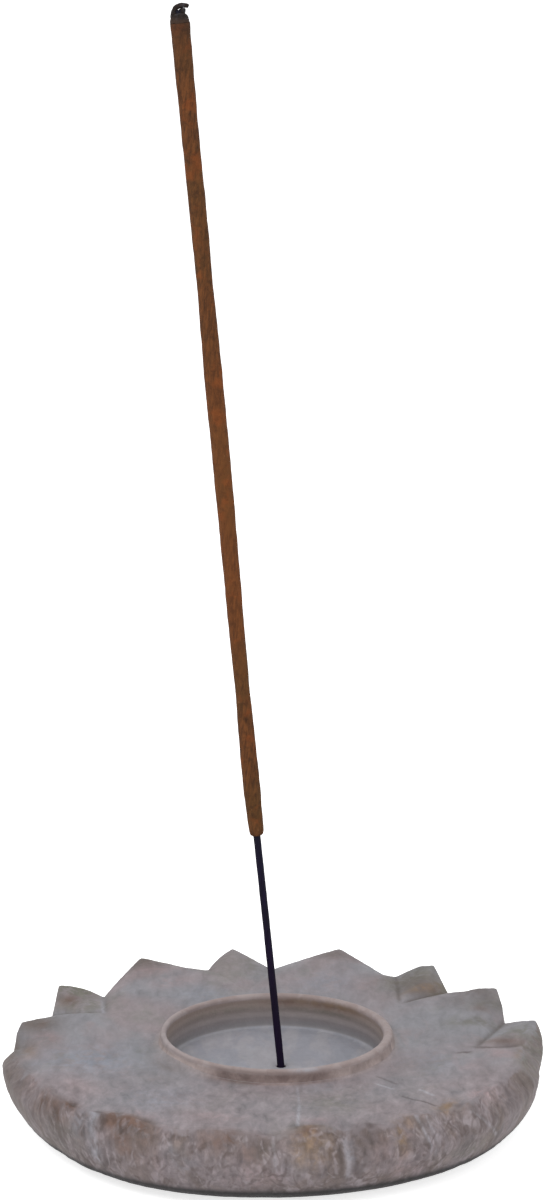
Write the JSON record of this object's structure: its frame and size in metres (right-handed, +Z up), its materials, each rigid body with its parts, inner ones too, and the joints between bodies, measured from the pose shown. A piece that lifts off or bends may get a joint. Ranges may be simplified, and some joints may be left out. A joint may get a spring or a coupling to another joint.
{
  "type": "incense stick holder",
  "caption": "Carved soapstone lotus dish with a raised ring cup and a drilled hole that holds one leaning incense stick; it catches the ash.",
  "frame": {"origin": "centre of the dish's flat foot, on the surface that the dish stands on", "axes": "+Z up; +Y away from the viewer and +X to the right, as the picture shows the dish; the stick leans towards -X"},
  "size_m": [0.101, 0.101, 0.2067],
  "materials": {
    "soapstone": "dressed and lightly rubbed, matt",
    "dyed_bamboo": "split bamboo, dyed dark violet, matt",
    "incense": "rolled incense paste, dry and rough",
    "char": "charred, with a trace of grey ash"
  },
  "bodies": {
    "dish": {"stone_dish": "soapstone"},
    "stick": {"bamboo_core": "dyed_bamboo", "incense_coating": "incense", "burnt_tip": "char"}
  },
  "joints": [
    {"name": "stick_lift", "type": "slide", "parent": "dish", "child": "stick", "axis": [-0.0924, 0, 0.9957], "range_m": [0, 0.02]}
  ]
}
